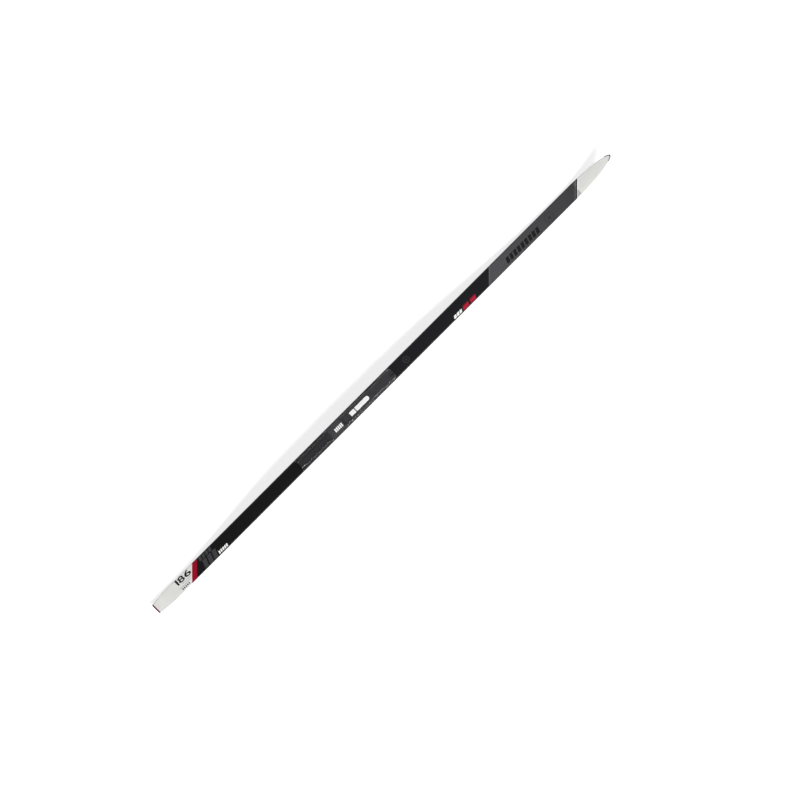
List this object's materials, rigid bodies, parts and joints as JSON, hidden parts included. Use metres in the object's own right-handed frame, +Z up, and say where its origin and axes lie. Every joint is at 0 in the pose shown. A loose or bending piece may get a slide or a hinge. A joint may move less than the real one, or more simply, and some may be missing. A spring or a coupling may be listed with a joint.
{
  "type": "cross country ski",
  "caption": "Skating cross country ski with a cambered running surface, a printed cap over a laminated core, tip and tail protectors and a slide-on binding plate.",
  "frame": {"origin": "under the middle of the ski's length and width, on the plane that its two contact zones stand on", "axes": "+X along the ski towards the tip, +Y across it to the left of a skier facing the tip, +Z up from the running surface to the deck"},
  "size_m": [1.86, 0.0426, 0.0488],
  "materials": {
    "printed_top_sheet": "screen-printed polyamide top sheet under clear gloss: white ends, graphite and black body, red band",
    "sintered_base": "stone-ground sintered polyethylene with graphite, faint linear structure",
    "edge_strip": "black ABS strip, sanded flush",
    "glass_laminate": "woven glass fibre in epoxy, translucent straw colour",
    "wood_core": "light planed poplar, grain along the ski",
    "spacer": "black moulded ABS",
    "reinforcement_sheet": "dark phenolic sheet, smooth",
    "tip_rim": "moulded dark grey thermoplastic urethane, fine matt",
    "tail_rim": "moulded dark red thermoplastic urethane, fine matt",
    "foam_tape": "white double-sided acrylic foam tape",
    "plate_nylon": "moulded glass-filled nylon, fine spark-eroded texture",
    "label_film": "white vinyl film, satin"
  },
  "bodies": {
    "root": {"running_base": "sintered_base", "left_edge_strip": "edge_strip", "right_edge_strip": "edge_strip", "base_laminate": "glass_laminate", "upper_laminate": "glass_laminate", "core_left_stringer": "wood_core", "core_centre_stringer": "wood_core", "core_right_stringer": "wood_core", "tail_spacer": "spacer", "tip_spacer": "spacer", "binding_reinforcement": "reinforcement_sheet", "top_sheet": "printed_top_sheet", "tip_protector": "tip_rim", "tail_protector": "tail_rim", "rear_plate_tape": "foam_tape", "bridge_tape": "foam_tape", "front_plate_tape": "foam_tape", "rear_binding_plate": "plate_nylon", "plate_bridge": "plate_nylon", "front_binding_plate": "plate_nylon", "square_label": "label_film", "scale_label": "label_film"}
  },
  "joints": []
}
